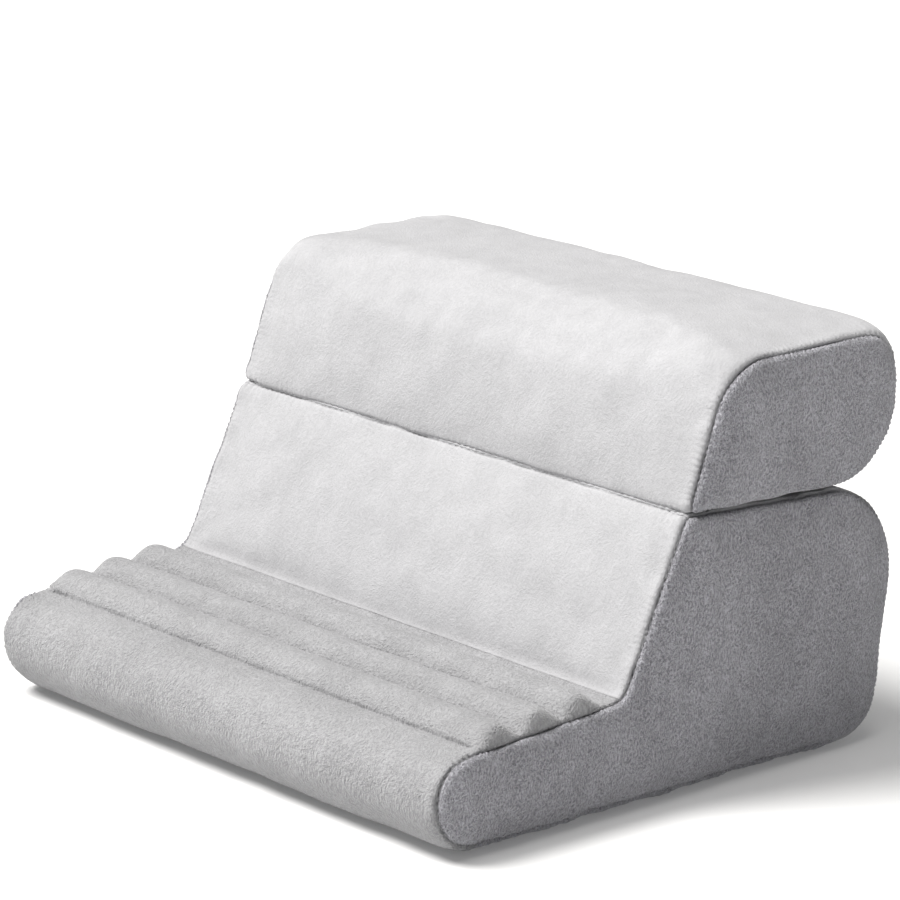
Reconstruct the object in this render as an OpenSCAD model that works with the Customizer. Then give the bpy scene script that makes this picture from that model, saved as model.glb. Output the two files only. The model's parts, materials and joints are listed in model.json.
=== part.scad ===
// Plush tablet pillow stand: a wedge-shaped base with a ribbed ledge in front, and a
// head pad on top that is sewn to the base along one front seam and folds forward about it.
// X runs across the width, Y from front to rear and Z up.
// The origin is on the floor under the middle of the stand.

/* [Overall] */
// Width over the side panels
body_w = 286; // [250:1:320]
// Depth from the front roll to the rear
body_d = 260; // [250:1:280]
// Height over the head pad
overall_h = 184; // [176:1:200]

/* [Base pad] */
// Height of the ledge at its front groove
ledge_z = 42.5; // [42:0.5:46]
// Rise of the ledge towards the rear, in degrees
ledge_slope = 3.6; // [2:0.1:5]
// Distance from the front of the stand to the front groove
nose_d = 24.7; // [24:0.1:27]
// Distance from the front of the stand to the foot of the leaning face
valley_d = 101.2; // [98:0.2:105]
// Angle of the leaning face from the floor, in degrees
lean_angle = 65; // [62:0.5:68]
// Height of the seam that the head pad folds about
hinge_z = 120; // [114:0.5:124]
// Fall of the base's top towards the rear, in degrees
top_fall = 2.6; // [2:0.1:4]
// Overhang of the rear face from vertical, in degrees
rear_lean = 7.4; // [5:0.1:9]
// Radius of the front roll's upper edge
nose_top_r = 17.5; // [14:0.5:17.5]
// Radius of the front roll's lower edge
nose_bottom_r = 23; // [20:0.5:23]
// Radius of the base's rear shoulder
shoulder_r = 42; // [38:0.5:44]
// Radius of the base's rear lower edge
heel_r = 19; // [16:0.5:20]

/* [Ribs] */
// Distance from one rib to the next
rib_pitch = 22.2; // [21:0.1:22.8]
// Width of the groove between two ribs
groove_w = 1; // [0.8:0.1:1.6]
// Height of a rib above the grooves
rib_h = 8; // [7:0.1:9]
// Distance from a rib's end to the side panel
rib_end_gap = 2; // [1:0.5:6]

/* [Head pad] */
// Angle of the head pad's front face from the floor, in degrees
face_angle = 70.5; // [68:0.5:73]
// Radius of the head pad's front upper edge
head_front_r = 14; // [10:0.5:16]
// Radius of the head pad's rear upper edge
head_rear_r = 15; // [10:0.5:16]
// Radius of the head pad's rear lower edge
head_under_r = 35; // [32:0.5:38]

/* [Cover] */
// Thickness of the cover fabric
cover_t = 1.6; // [1.4:0.1:2]
// Gap left between a foam and its cover
fit = 0.2; // [0.1:0.05:0.3]
// Gap between the head pad and the base at rest
head_gap = 0.6; // [0.5:0.1:1]
// Radius of the sewn bead along the folding seam
seam_r = 1.2; // [1:0.1:1.4]

/* [Zips] */
// Length of each zip's row of teeth
zip_len = 232; // [200:1:240]
// Height of the base zip above the floor
base_zip_z = 35; // [35:0.5:38]
// Place of the head zip round the rear lower edge, in degrees below horizontal
head_zip_angle = 35; // [30:1:40]
// Width of one zip tape
tape_w = 12; // [11:0.5:13]
// Gap between the two fabric edges that show the teeth
zip_gap = 9; // [8.8:0.1:10]
// Width of the closed teeth
coil_w = 4.4; // [4:0.1:4.6]
// Height of the closed teeth above the tapes
coil_t = 2; // [1.8:0.1:2.1]
// Length of a zip pull from its pivot
pull_len = 22; // [18:0.5:26]

/* [Hidden] */

// Steps of the rounded edges, in degrees
arc_step = 6;
// Clearance between the zip's running pieces
zip_clear = 0.25;
tape_t = 0.6;
tape_split = 0.6;
// Depth of the tapes' outer face below the fabric's outer face
tape_depth = cover_t + fit / 2;
// Height of the teeth's top above the fabric's outer face
coil_top = coil_t - tape_depth;
stop_len = 2.5;
stop_lip = 0.4;
slider_len = 9;
slider_w = 8.2;
slider_home = (zip_len - slider_len) / 2 - 2 * zip_clear;
plate_t = 1.2;
bridge_w = 1.6;
bridge_len = 6.8;
bridge_h = 2.5;
bridge_window = [4.4, 1.7];
pull_t = 1.2;
pull_w = 5.6;
pull_eye_len = 4.4;
pull_arm_w = 1.2;
label_size = [24, 14, 0.5];
// Radius kept clear round the folding seam on the head pad
fold_clear_r = 2 * seam_r;
// Size of a block that reaches past the whole stand
beyond = 400;

front_y = -body_d / 2;
rear_y = body_d / 2;
groove_y = front_y + nose_d;
valley_y = front_y + valley_d;
valley_z = ledge_height(valley_y);
hinge_y = valley_y + (hinge_z - valley_z) / tan(lean_angle);
wrap_w = body_w - 2 * cover_t;
foam_w = wrap_w - 2 * fit;
foam_inset = cover_t + fit;

// Front foot of the wedge foam, where the leaning face carried on down meets the floor
foot_y = valley_y - valley_z / tan(lean_angle);

// Rear shoulder and rear face of the base
shoulder_y = rear_y - shoulder_r;
shoulder_z = top_height(shoulder_y) - shoulder_r / cos(top_fall);
heel_y = shoulder_y + shoulder_r / cos(rear_lean) - shoulder_z * tan(rear_lean);
rear_top_z = (hinge_z - tan(top_fall) * (heel_y - hinge_y)) / (1 + tan(top_fall) * tan(rear_lean));
rear_top_y = rear_face_y(rear_top_z);
rear_down = [-tan(rear_lean), -1];

// Rear lower edge of the head pad
under_y = rear_y - head_under_r;
under_z = top_height(under_y) + head_gap + head_under_r / cos(top_fall);

// Ribs: a circle segment of the given height on the width left between two grooves
rib_chord = rib_pitch - groove_w;
rib_r = (pow(rib_chord / 2, 2) + pow(rib_h, 2)) / (2 * rib_h);
rib_len = wrap_w - 2 * rib_end_gap;

// Outlines in the YZ plane: each corner is [y, z, radius], clockwise seen from +X
base_corners = [
    [front_y, 0, nose_bottom_r],
    [front_y, ledge_height(front_y), nose_top_r],
    [valley_y, valley_z, 0],
    [hinge_y, hinge_z, 0],
    [rear_top_y, rear_top_z, shoulder_r],
    [heel_y, 0, heel_r]
];
wedge_corners = [[foot_y, 0, 0], base_corners[3], base_corners[4], base_corners[5]];
base_lining = inset_outline(base_corners, cover_t);
head_corners = [
    [hinge_y + head_gap / tan(face_angle), hinge_z + head_gap, 0],
    [hinge_y + (overall_h - hinge_z) / tan(face_angle), overall_h, head_front_r],
    [rear_y, overall_h, head_rear_r],
    [rear_y, top_height(rear_y) + head_gap, head_under_r]
];
head_lining = inset_outline(head_corners, cover_t);

// Heights of the ledge and of the base's top, and the place of the rear face
function ledge_height(y) = ledge_z + (y - groove_y) * tan(ledge_slope);
function top_height(y) = hinge_z - (y - hinge_y) * tan(top_fall);
function rear_face_y(z) = heel_y + z * tan(rear_lean);

// Length along an edge that an edge radius takes up, where the outline turns by an angle
function edge_run(r, turn) = r * tan(turn / 2);
nose_seam_y = front_y + edge_run(nose_bottom_r, 90);
heel_seam_y = heel_y - edge_run(heel_r, 90 + rear_lean);

// Plane geometry of rounded outlines
function flat(c) = [c[0], c[1]];
function unit(v) = v / norm(v);
function along(a, b) = unit(flat(b) - flat(a));
function inward(u) = [u[1], -u[0]];
function turn_of(u, v) = atan2(u[1] * v[0] - u[0] * v[1], u * v);
function arc(centre, r, from, to) =
    let (n = max(1, ceil(abs(to - from) / arc_step)))
    [for (i = [0:n]) centre + r * [cos(from + (to - from) * i / n), sin(from + (to - from) * i / n)]];
function reversed(points) = [for (i = [len(points) - 1:-1:0]) points[i]];

// Points of one corner: the corner itself where it is sharp, or its arc
function corner_points(before, here, after) =
    let (
        u = along(before, here),
        v = along(here, after),
        turn = turn_of(u, v),
        r = here[2],
        side = turn > 0 ? 1 : -1,
        centre = flat(here) - edge_run(r, abs(turn)) * u + side * r * inward(u),
        from = atan2(-side * inward(u)[1], -side * inward(u)[0])
    )
    r > 0 ? arc(centre, r, from, from - turn) : [flat(here)];

// A closed outline and an open path with their corners rounded
function rounded_outline(corners) =
    let (n = len(corners))
    [for (i = [0:n - 1]) each corner_points(corners[(i + n - 1) % n], corners[i], corners[(i + 1) % n])];
function rounded_path(corners) =
    let (last = len(corners) - 1)
    concat(
        [flat(corners[0])],
        [for (i = [1:1:last - 1]) each corner_points(corners[i - 1], corners[i], corners[i + 1])],
        [flat(corners[last])]
    );

// One corner moved inwards by d, where n1 and n2 are the inward normals beside it
function moved_corner(c, n1, n2, d) =
    let (p = flat(c) + d * (n1 + n2) / (1 + n1 * n2))
    [p[0], p[1], max(0, c[2] - d)];
function inset_outline(corners, d) =
    let (n = len(corners))
    [for (i = [0:n - 1]) moved_corner(
        corners[i],
        inward(along(corners[(i + n - 1) % n], corners[i])),
        inward(along(corners[i], corners[(i + 1) % n])),
        d
    )];

// The point at a depth inside a straight stretch that runs in a given direction
function below(point, direction, d) = flat(point) + d * inward(unit(direction));

// A solid across the width with its profile in the YZ plane
module across(points, width) {
    rotate([90, 0, 90])
        linear_extrude(width, center = true)
            polygon(points);
}

// A fabric panel between an outer path and an inner one
module panel(outer, inner) {
    across(concat(rounded_path(outer), reversed(rounded_path(inner))), wrap_w);
}

// A cylinder along X through a point of the YZ plane
module rod(place, r, width) {
    translate([0, place[0], place[1]])
        rotate([0, 90, 0])
            cylinder(r = r, h = width, center = true, $fn = 48);
}

// Everything within a radius of the folding seam
module seam_space(r) {
    rod([hinge_y, hinge_z], r, body_w + 2);
}

// A side panel on the left, at -X, or the right
module side_panel(corners, side) {
    translate([side * (body_w - cover_t) / 2, 0, 0])
        across(rounded_outline(corners), cover_t);
}

// Places its children on the ledge at a distance behind the front groove, tilted with the ledge
module on_ledge(distance) {
    translate([0, groove_y + distance * cos(ledge_slope), ledge_z + distance * sin(ledge_slope)])
        rotate([ledge_slope, 0, 0])
            children();
}

// A round-ended bar under one rib's crest, of the rib's radius less an inset
module rib_bar(index, inset) {
    straight = rib_len / 2 - rib_r;
    on_ledge((index + 0.5) * rib_pitch)
        translate([0, 0, rib_h - rib_r]) {
            rotate([0, 90, 0])
                cylinder(r = rib_r - inset, h = 2 * straight, center = true, $fn = 48);
            for (side = [-1, 1])
                translate([side * straight, 0, 0])
                    sphere(r = rib_r - inset, $fn = 48);
        }
}

// Everything lower than a depth below the ledge
module under_ledge(depth) {
    on_ledge(1.5 * rib_pitch)
        translate([-body_w / 2, -2 * rib_pitch, -depth - 2 * rib_r])
            cube([body_w, 4 * rib_pitch, 2 * rib_r]);
}

module rib_foam(index) {
    color("whitesmoke")
        difference() {
            rib_bar(index, foam_inset);
            under_ledge(cover_t);
        }
}

// Everything behind the leaning face, from a depth behind it
module behind_face(depth) {
    up = [cos(lean_angle), sin(lean_angle)];
    start = [valley_y, valley_z] + depth * inward(up);
    across([start - body_d * up, start + body_d * up, [beyond, beyond], [beyond, -beyond]], body_w);
}

// Places its children on the base's rear face, or on the head pad's rear lower edge:
// Z points out of the fabric's outer face and Y up along it
module on_base_zip() {
    translate([0, rear_face_y(base_zip_z), base_zip_z])
        rotate([90 + rear_lean, 0, 180])
            children();
}
module on_head_zip() {
    translate([0, under_y, under_z])
        rotate([90 + head_zip_angle, 0, 180])
            translate([0, 0, head_under_r])
                children();
}

// A box given by its lowest corner and its size, used in the zip's own frame
module block(x, y, z) {
    translate([x[0], y[0], z[0]])
        cube([x[1] - x[0], y[1] - y[0], z[1] - z[0]]);
}

module zip_coil() {
    color("darkgray")
        translate([0, 0, -tape_depth])
            across(
                rounded_outline([
                    [-coil_w / 2, 0, 0],
                    [-coil_w / 2, coil_t, coil_t * 0.45],
                    [coil_w / 2, coil_t, coil_t * 0.45],
                    [coil_w / 2, 0, 0]
                ]),
                zip_len
            );
}

module zip_stops() {
    color("dimgray")
        for (side = [-1, 1])
            translate([side * (zip_len + stop_len) / 2, 0, 0])
                block(
                    [-stop_len / 2, stop_len / 2],
                    [-coil_w / 2 - stop_lip, coil_w / 2 + stop_lip],
                    [-tape_depth, coil_top + stop_lip]
                );
}

// Slider: a plate over the teeth with two side flanges and a bridge for the pull
module zip_slider() {
    plate_z = coil_top + zip_clear;
    top_z = plate_z + plate_t;
    flange_y = coil_w / 2 + zip_clear;
    color("dimgray")
        translate([slider_home, 0, 0]) {
            block([-slider_len / 2, slider_len / 2], [-slider_w / 2, slider_w / 2], [plate_z, top_z]);
            for (side = [0, 1])
                mirror([0, side, 0])
                    block(
                        [-slider_len / 2, slider_len / 2],
                        [flange_y, slider_w / 2],
                        [zip_clear - tape_depth, plate_z]
                    );
            difference() {
                block(
                    [-bridge_len / 2, bridge_len / 2],
                    [-bridge_w / 2, bridge_w / 2],
                    [top_z, top_z + bridge_h]
                );
                block(
                    [-bridge_window[0] / 2, bridge_window[0] / 2],
                    [-bridge_w, bridge_w],
                    [top_z - 0.01, top_z + bridge_window[1]]
                );
            }
        }
}

// Pull: a flat tab with an open eye whose cross bar runs through the slider's bridge
pivot_lift = coil_top + zip_clear + plate_t + bridge_window[1] / 2;
module zip_pull() {
    arm_y = pull_w / 2 - pull_arm_w;
    color("gray")
        translate([slider_home, 0, pivot_lift]) {
            rotate([90, 0, 0])
                cylinder(d = pull_t, h = pull_w, center = true, $fn = 24);
            for (side = [0, 1])
                mirror([0, side, 0])
                    block([-pull_eye_len, 0], [arm_y, pull_w / 2], [-pull_t / 2, pull_t / 2]);
            block([-pull_len, -pull_eye_len], [-pull_w / 2, pull_w / 2], [-pull_t / 2, pull_t / 2]);
        }
}

// A flat tape beside the teeth of the base zip: side is 1 above them and -1 below
module flat_tape(side) {
    color("gray")
        on_base_zip()
            mirror([0, side > 0 ? 0 : 1, 0])
                block(
                    [-zip_len / 2 - stop_len, zip_len / 2 + stop_len],
                    [tape_split / 2, tape_split / 2 + tape_w],
                    [-tape_depth - tape_t, -tape_depth]
                );
}

// A tape that follows the head pad's rear lower edge, from one distance round it to another
module curved_band(from, to, inner_r, outer_r, width) {
    degrees = 180 / (PI * head_under_r);
    centre = [under_y, under_z];
    low = -head_zip_angle + from * degrees;
    high = -head_zip_angle + to * degrees;
    across(concat(arc(centre, outer_r, high, low), arc(centre, inner_r, low, high)), width);
}
module curved_tape(side) {
    tape_r = head_under_r - tape_depth;
    near = tape_split / 2;
    ends = side > 0 ? [near, near + tape_w] : [-near - tape_w, -near];
    color("gray")
        curved_band(ends[0], ends[1], tape_r - tape_t, tape_r, zip_len + 2 * stop_len);
}

// Base pad
module base_wedge_foam() {
    pocket_y = tape_split / 2 + tape_w + fit;
    color("whitesmoke")
        difference() {
            across(rounded_outline(inset_outline(wedge_corners, foam_inset)), foam_w);
            seam_space(fold_clear_r);
            on_base_zip()
                block(
                    [-zip_len / 2 - 2 * stop_len, zip_len / 2 + 2 * stop_len],
                    [-pocket_y, pocket_y],
                    [-tape_depth - tape_t - fit, 0]
                );
        }
}

module base_ledge_foam() {
    color("whitesmoke")
        difference() {
            across(rounded_outline(inset_outline(base_corners, foam_inset)), foam_w);
            behind_face(cover_t);
        }
}

module rib_foam_front() {
    rib_foam(0);
}

module rib_foam_middle() {
    rib_foam(1);
}

module rib_foam_rear() {
    rib_foam(2);
}

module base_ribbed_panel() {
    color("lightgray")
        difference() {
            union() {
                panel(
                    [[nose_seam_y, 0], base_corners[0], base_corners[1], base_corners[2]],
                    [[nose_seam_y, cover_t], base_lining[0], base_lining[1], base_lining[2]]
                );
                difference() {
                    for (i = [0:2])
                        rib_bar(i, 0);
                    under_ledge(cover_t / 2);
                }
            }
            for (i = [0:2])
                rib_bar(i, cover_t);
        }
}

module base_face_panel() {
    color("gainsboro")
        difference() {
            panel([base_corners[2], base_corners[3]], [base_lining[2], base_lining[3]]);
            seam_space(seam_r + fit / 2);
        }
}

module base_back_panel() {
    edge_z = base_zip_z + zip_gap / 2 * cos(rear_lean);
    edge = [rear_face_y(edge_z), edge_z];
    color("lightgray")
        difference() {
            panel(
                [base_corners[3], base_corners[4], edge],
                [base_lining[3], base_lining[4], below(edge, rear_down, cover_t)]
            );
            seam_space(seam_r + fit / 2);
        }
}

module base_heel_panel() {
    edge_z = base_zip_z - zip_gap / 2 * cos(rear_lean);
    edge = [rear_face_y(edge_z), edge_z];
    color("lightgray")
        panel(
            [edge, base_corners[5], [heel_seam_y, 0]],
            [below(edge, rear_down, cover_t), base_lining[5], [heel_seam_y, cover_t]]
        );
}

module base_bottom_panel() {
    color("darkgray")
        across([[nose_seam_y, 0], [nose_seam_y, cover_t], [heel_seam_y, cover_t], [heel_seam_y, 0]], wrap_w);
}

module base_side_panel(side) {
    color("silver")
        difference() {
            side_panel(base_corners, side);
            seam_space(seam_r + fit / 2);
        }
}

module base_left_panel() {
    base_side_panel(-1);
}

module base_right_panel() {
    base_side_panel(1);
}

module hinge_seam() {
    color("silver")
        rod([hinge_y, hinge_z], seam_r, body_w);
}

module base_zip_tape_upper() {
    flat_tape(1);
}

module base_zip_tape_lower() {
    flat_tape(-1);
}

module base_zip_coil() {
    on_base_zip()
        zip_coil();
}

module base_zip_stops() {
    on_base_zip()
        zip_stops();
}

module base_zip_slider() {
    on_base_zip()
        zip_slider();
}

module base_zip_pull() {
    on_base_zip()
        zip_pull();
}

// A blank tag sewn in under the base zip
module care_label() {
    color("white")
        on_base_zip()
            translate([label_size[0] - zip_len / 2, -(zip_gap + label_size[1]) / 2, fit + label_size[2] / 2])
                cube(label_size, center = true);
}

// Head pad
module head_foam() {
    pocket = tape_split / 2 + tape_w + fit;
    tape_r = head_under_r - tape_depth - tape_t - fit;
    color("whitesmoke")
        difference() {
            across(rounded_outline(inset_outline(head_corners, foam_inset)), foam_w);
            seam_space(fold_clear_r);
            curved_band(-pocket, pocket, tape_r, head_under_r, zip_len + 4 * stop_len);
        }
}

// The head pad's fabric as far round the rear lower edge as the zip
module head_wrap_panel() {
    edge_angle = -head_zip_angle + zip_gap / 2 * 180 / (PI * head_under_r);
    centre = [under_y, under_z];
    color("gainsboro")
        difference() {
            across(
                concat(
                    rounded_path([head_corners[0], head_corners[1], head_corners[2], [rear_y, under_z]]),
                    arc(centre, head_under_r, 0, edge_angle),
                    arc(centre, head_under_r - cover_t, edge_angle, 0),
                    reversed(rounded_path(
                        [head_lining[0], head_lining[1], head_lining[2], [rear_y - cover_t, under_z]]
                    ))
                ),
                wrap_w
            );
            seam_space(fold_clear_r);
        }
}

module head_bottom_panel() {
    edge_angle = -head_zip_angle - zip_gap / 2 * 180 / (PI * head_under_r);
    flat_angle = -90 - top_fall;
    centre = [under_y, under_z];
    color("lightgray")
        difference() {
            across(
                concat(
                    arc(centre, head_under_r, edge_angle, flat_angle),
                    [flat(head_corners[0]), flat(head_lining[0])],
                    arc(centre, head_under_r - cover_t, flat_angle, edge_angle)
                ),
                wrap_w
            );
            seam_space(fold_clear_r);
        }
}

module head_side_panel(side) {
    color("silver")
        difference() {
            side_panel(head_corners, side);
            seam_space(fold_clear_r);
        }
}

module head_left_panel() {
    head_side_panel(-1);
}

module head_right_panel() {
    head_side_panel(1);
}

module head_zip_tape_upper() {
    curved_tape(1);
}

module head_zip_tape_lower() {
    curved_tape(-1);
}

module head_zip_coil() {
    on_head_zip()
        zip_coil();
}

module head_zip_stops() {
    on_head_zip()
        zip_stops();
}

module head_zip_slider() {
    on_head_zip()
        zip_slider();
}

module head_zip_pull() {
    on_head_zip()
        zip_pull();
}

base_wedge_foam();
base_ledge_foam();
rib_foam_front();
rib_foam_middle();
rib_foam_rear();
base_ribbed_panel();
base_face_panel();
base_back_panel();
base_heel_panel();
base_bottom_panel();
base_left_panel();
base_right_panel();
hinge_seam();
base_zip_tape_upper();
base_zip_tape_lower();
base_zip_coil();
base_zip_stops();
base_zip_slider();
base_zip_pull();
care_label();
head_foam();
head_wrap_panel();
head_bottom_panel();
head_left_panel();
head_right_panel();
head_zip_tape_upper();
head_zip_tape_lower();
head_zip_coil();
head_zip_stops();
head_zip_slider();
head_zip_pull();
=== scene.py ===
"""Looks of the plush tablet stand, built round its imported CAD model.

Outlines are drawn in the YZ plane in millimetres, clockwise seen from +X, and become metres when a mesh is
made. Each pad is one closed skin: a wrap that runs round the outline and two side panels. Cloth pressure
fills it out between its pinned seams, and then it is cut into the panels of the CAD model.
"""

import json
import math

import bmesh
import bpy
import numpy as np
from mathutils import Matrix, Vector, bvhtree, geometry, kdtree


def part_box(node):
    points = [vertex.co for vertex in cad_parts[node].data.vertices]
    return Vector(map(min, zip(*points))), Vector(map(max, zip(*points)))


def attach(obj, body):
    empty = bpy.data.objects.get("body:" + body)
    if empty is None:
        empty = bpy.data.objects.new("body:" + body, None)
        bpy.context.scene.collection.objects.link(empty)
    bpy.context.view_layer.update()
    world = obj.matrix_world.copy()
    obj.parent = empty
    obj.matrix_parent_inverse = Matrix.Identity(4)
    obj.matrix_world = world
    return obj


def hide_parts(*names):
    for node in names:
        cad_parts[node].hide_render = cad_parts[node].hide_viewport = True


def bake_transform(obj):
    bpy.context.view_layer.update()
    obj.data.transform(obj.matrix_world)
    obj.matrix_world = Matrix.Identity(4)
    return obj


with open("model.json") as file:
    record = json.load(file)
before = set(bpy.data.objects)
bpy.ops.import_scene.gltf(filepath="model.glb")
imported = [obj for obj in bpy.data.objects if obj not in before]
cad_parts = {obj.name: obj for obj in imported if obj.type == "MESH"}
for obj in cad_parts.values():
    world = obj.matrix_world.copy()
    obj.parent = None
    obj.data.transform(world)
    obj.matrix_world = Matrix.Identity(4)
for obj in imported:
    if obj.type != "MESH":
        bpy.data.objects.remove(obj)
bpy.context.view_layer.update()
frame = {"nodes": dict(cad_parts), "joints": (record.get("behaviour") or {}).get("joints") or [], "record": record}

MM = 0.001
JOINTS = {joint["name"]: joint for joint in frame["joints"]}


# ---------------- places taken from the frame
def node_box(name):
    """Lowest and highest corner of a CAD node, in millimetres."""
    low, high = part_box(name)
    return np.array(low) / MM, np.array(high) / MM


def node_centre(name):
    low, high = node_box(name)
    return (low + high) / 2


HINGE = np.array(JOINTS["head_fold"]["pos_m"][1:]) / MM
BASE_LOW, BASE_HIGH = node_box("base_left_panel")
HEAD_HIGH = node_box("head_left_panel")[1]
BOTTOM_LOW, BOTTOM_HIGH = node_box("base_bottom_panel")
FRONT, REAR = BASE_LOW[1], BASE_HIGH[1]
TOP = HEAD_HIGH[2]
HALF_WIDTH = node_box("base_right_panel")[1][0]
ZIP_HALF_LENGTH = node_box("base_zip_tape_upper")[1][0]

# ---------------- shape constants, mm and degrees
LEAN = math.radians(65)
FACE_LEAN = math.radians(70.5)
LEDGE_SLOPE = math.radians(3.6)
TOP_FALL = math.radians(2.6)
REAR_LEAN = math.radians(7.4)
NOSE_TOP_R, NOSE_BOTTOM_R, SHOULDER_R, HEEL_R = 17.5, 23, 42, 19
HEAD_FRONT_R, HEAD_REAR_R, HEAD_UNDER_R = 17, 15, 35
VALLEY_R = 9
HEAD_GAP = 0.6
RIB_HEIGHT = 8
SIDE_BULGE = 5.4
SEAM_X = HALF_WIDTH - 1
EDGE_WIDTH = 12
HEAD_FACE_EDGE_WIDTH, HEAD_TOP_EDGE_WIDTH = 13, 22
HEAD_FACE_DEPTH, HEAD_TOP_DEPTH = 36, 8
RIB_CREST_END, RIB_FLANK_END = 4.2, 15
BORDER_WIDTH = 14
FABRIC = 1.2
ZIP_HALF_GAP = 4.5
ZIP_GAP_END = ZIP_HALF_LENGTH - 0.3
FOLD_DIP = 1.2
FOLD_REACH = 6
CLEAR_BEHIND_FOLD = 3
GROOVE_SHORT = 3
DOT_HEIGHT, DOT_EDGE = 0.5, 5

# ---------------- how finely, how firmly and how full
ROW_SPACING = 5.0
OUTLINE_SPACING, RIB_SPACING, VALLEY_SPACING = 3.2, 2.8, 3
COVER_LEVELS, FOAM_LEVELS = 2, 1
SEAM_CREASE, GROOVE_CREASE = 1.0, 0.8
CLOTH_PRESSURE, CLOTH_FRAMES, CLOTH_CAP = 3.0, 12, 3.0

# ---------------- sewing, in mm, and its seeds
SIDE_SEWING = {"pitch": 2.5, "depth": 0.65, "reach": 2.8}
GROOVE_SEWING = {"pitch": 4.6, "depth": 0.2, "reach": 1.8, "pinch": 0.7, "swell": 0.3, "width": 0.9}
FOLD_SEWING = {"pitch": 3.6, "depth": 0.35, "reach": 2.6, "pinch": 0.5, "swell": 0.2}
SWELL_PEAK = 1.9
PUCKER_START = 0.6
PUCKER_WANDER = 1.6
SEAM_UNEVENNESS = 0.35
BASE_SEEDS = {"filling": 11, "sides": 21, "grooves": 31, "fold": 36, "tufts": 71}
HEAD_SEEDS = {"filling": 41, "sides": 51, "fold": 61, "tufts": 81}


# ---------------- outlines
def unit(v):
    return v / np.linalg.norm(v)


def inward(u):
    return np.array([u[1], -u[0]])


def inset(corners, drops):
    """Moves each edge of a closed outline of (y, z, radius) corners inwards by its own drop."""
    moved = []
    for i, (y, z, r) in enumerate(corners):
        here = np.array([y, z])
        before = np.array(corners[i - 1][:2])
        after = np.array(corners[(i + 1) % len(corners)][:2])
        u, v = unit(here - before), unit(after - here)
        pair = np.array([drops[i - 1], drops[i]], float)
        place = here + np.linalg.solve(np.array([inward(u), inward(v)]), pair)
        turn = u[1] * v[0] - u[0] * v[1]
        moved.append((*place, max(0.0, r - math.copysign(pair.mean(), turn)) if r else 0.0))
    return moved


def trace(corners, step=0.4):
    """Close points along a closed outline, with each corner's radius as an arc."""
    points = []
    for i, (y, z, r) in enumerate(corners):
        here = np.array([y, z])
        u = unit(here - np.array(corners[i - 1][:2]))
        v = unit(np.array(corners[(i + 1) % len(corners)][:2]) - here)
        turn = math.atan2(u[1] * v[0] - u[0] * v[1], u @ v)
        if not r:
            points.append(here)
            continue
        side = math.copysign(1, turn)
        centre = here - r * math.tan(abs(turn) / 2) * u + side * r * inward(u)
        spoke = -side * inward(u)
        start = math.atan2(spoke[1], spoke[0])
        count = max(2, math.ceil(r * abs(turn) / step))
        for k in range(count + 1):
            a = start - turn * k / count
            points.append(centre + r * np.array([math.cos(a), math.sin(a)]))
    dense = []
    for a, b in zip(points, points[1:] + points[:1]):
        count = max(1, math.ceil(np.linalg.norm(b - a) / step))
        dense += [a + (b - a) * k / count for k in range(count)]
    return np.array(dense)


def run_along(points):
    """How far along a path each of its points lies."""
    return np.concatenate([[0], np.cumsum(np.linalg.norm(np.diff(points, axis=0), axis=1))])


def resample(points, count):
    """The same open path in a number of equal steps."""
    lengths = run_along(points)
    wanted = np.linspace(0, lengths[-1], count + 1)
    return np.stack([np.interp(wanted, lengths, points[:, k]) for k in (0, 1)], axis=1)


def pieces_of(outline, marks):
    """Cuts a closed outline at the points nearest to the marks, which are in its own order."""
    starts = [int(np.argmin(np.linalg.norm(outline - mark, axis=1))) for mark in marks]
    rolled = np.roll(outline, -starts[0], axis=0)
    cuts = [(s - starts[0]) % len(outline) for s in starts] + [len(outline)]
    closed = np.vstack([rolled, rolled[:1]])
    return [closed[a : b + 1] for a, b in zip(cuts, cuts[1:])]


def length_of(points):
    return float(np.linalg.norm(np.diff(points, axis=0), axis=1).sum())


def rib_arc(start, end, height, count=24):
    """A circular arch from one groove to the next, on the upper side."""
    chord = end - start
    half = np.linalg.norm(chord) / 2
    r = (half**2 + height**2) / (2 * height)
    centre = (start + end) / 2 + (r - height) * inward(unit(chord))
    spread = math.asin(min(1.0, half / r))
    up = -inward(unit(chord))
    angles = np.linspace(-spread, spread, count)
    return np.array([centre + r * (math.sin(a) * unit(chord) + math.cos(a) * up) for a in angles])


# ---------------- the two pads' outlines
def ledge_at(y):
    return VALLEY[1] + (y - VALLEY[0]) * math.tan(LEDGE_SLOPE)


valley_y = node_box("base_face_panel")[0][1]
VALLEY = np.array([valley_y, HINGE[1] - (HINGE[0] - valley_y) * math.tan(LEAN)])
HEEL_Y = BOTTOM_HIGH[1] + HEEL_R * math.tan((math.pi / 2 + REAR_LEAN) / 2)


def base_top(y):
    return HINGE[1] - (y - HINGE[0]) * math.tan(TOP_FALL)


def rear_face(z):
    return HEEL_Y + z * math.tan(REAR_LEAN)


REAR_TOP_Z = base_top(HEEL_Y) / (1 + math.tan(TOP_FALL) * math.tan(REAR_LEAN))
BASE_CORNERS = [
    (FRONT, 0, NOSE_BOTTOM_R),
    (FRONT, ledge_at(FRONT), NOSE_TOP_R),
    (*VALLEY, VALLEY_R),
    (*HINGE, 0),
    (rear_face(REAR_TOP_Z), REAR_TOP_Z, SHOULDER_R),
    (HEEL_Y, 0, HEEL_R),
]
BASE_DROPS = [2.6, 0.8, 2.0, 1.6, 3.0, 5.2]
HEAD_CORNERS = [
    (HINGE[0] + HEAD_GAP / math.tan(FACE_LEAN), HINGE[1] + HEAD_GAP, 0),
    (HINGE[0] + (TOP - HINGE[1]) / math.tan(FACE_LEAN), TOP, HEAD_FRONT_R),
    (REAR, TOP, HEAD_REAR_R),
    (REAR, base_top(REAR) + HEAD_GAP, HEAD_UNDER_R),
]
HEAD_DROPS = [2.8, 5.6, 3.2, 0.8]
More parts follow.
